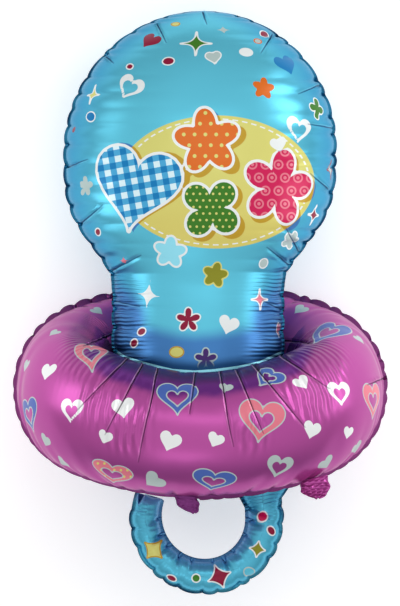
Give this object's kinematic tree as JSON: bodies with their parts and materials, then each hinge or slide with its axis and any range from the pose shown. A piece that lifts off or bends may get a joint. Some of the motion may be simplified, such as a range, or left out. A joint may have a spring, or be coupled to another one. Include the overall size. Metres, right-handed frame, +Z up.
{
  "type": "pacifier foil balloon",
  "caption": "Inflated foil balloon shaped like a baby's pacifier, with a printed teat, a hooked handle loop and a puffy shield ring.",
  "frame": {"origin": "on the floor below the middle of the balloon, which lies on its back", "axes": "+Z up out of the printed front, +Y from the handle towards the crown of the teat, +X to the right as seen from above"},
  "size_m": [0.58, 0.8998, 0.3849],
  "materials": {
    "blue_foil": "printed metallised film, satin mirror",
    "purple_foil": "printed metallised film, satin mirror"
  },
  "bodies": {
    "root": {"teat_and_handle_balloon": "blue_foil", "shield_ring_balloon": "purple_foil"}
  },
  "joints": []
}
